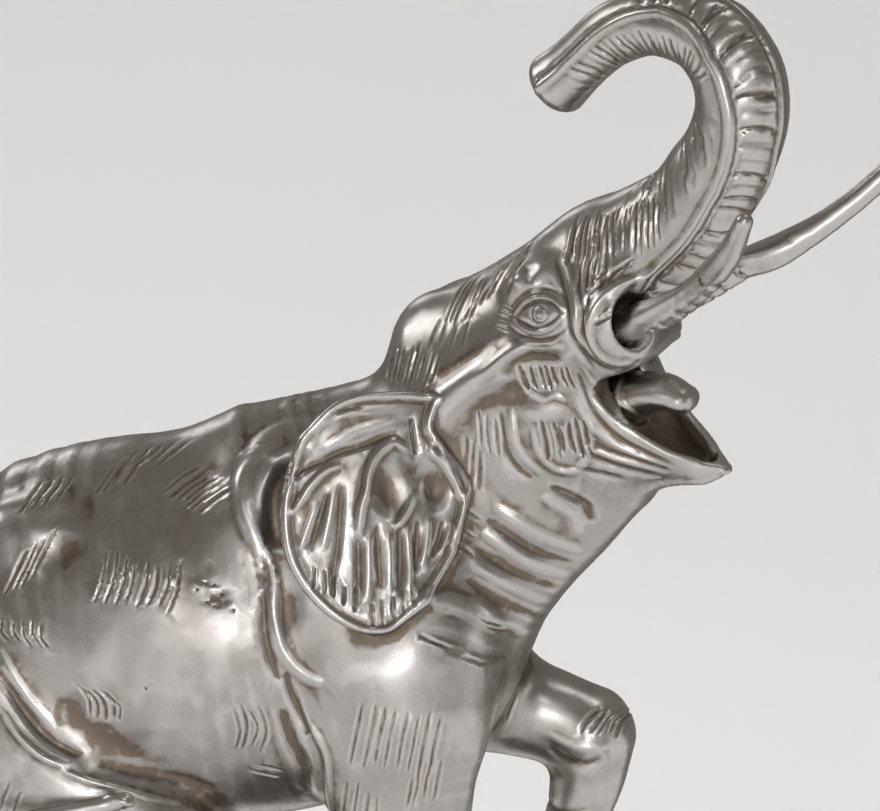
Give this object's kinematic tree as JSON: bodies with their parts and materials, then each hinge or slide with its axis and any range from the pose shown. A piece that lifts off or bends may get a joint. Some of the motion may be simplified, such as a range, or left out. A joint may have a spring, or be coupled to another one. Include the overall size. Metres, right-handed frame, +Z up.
{
  "type": "elephant sculpture",
  "caption": "Silver-toned bronze elephant in mid stride with trunk thrown up and curled back, mouth open, one forefoot raised, on a low rounded base.",
  "frame": {"origin": "centre of the base's underside", "axes": "+X the way the elephant walks, +Y its left side, +Z up"},
  "size_m": [0.5623, 0.2875, 0.6222],
  "materials": {
    "silvered_bronze": "cast bronze with a silver-grey tone, burnished on the high points and brown in the hollows"
  },
  "bodies": {
    "root": {"elephant": "silvered_bronze", "base": "silvered_bronze"}
  },
  "joints": []
}
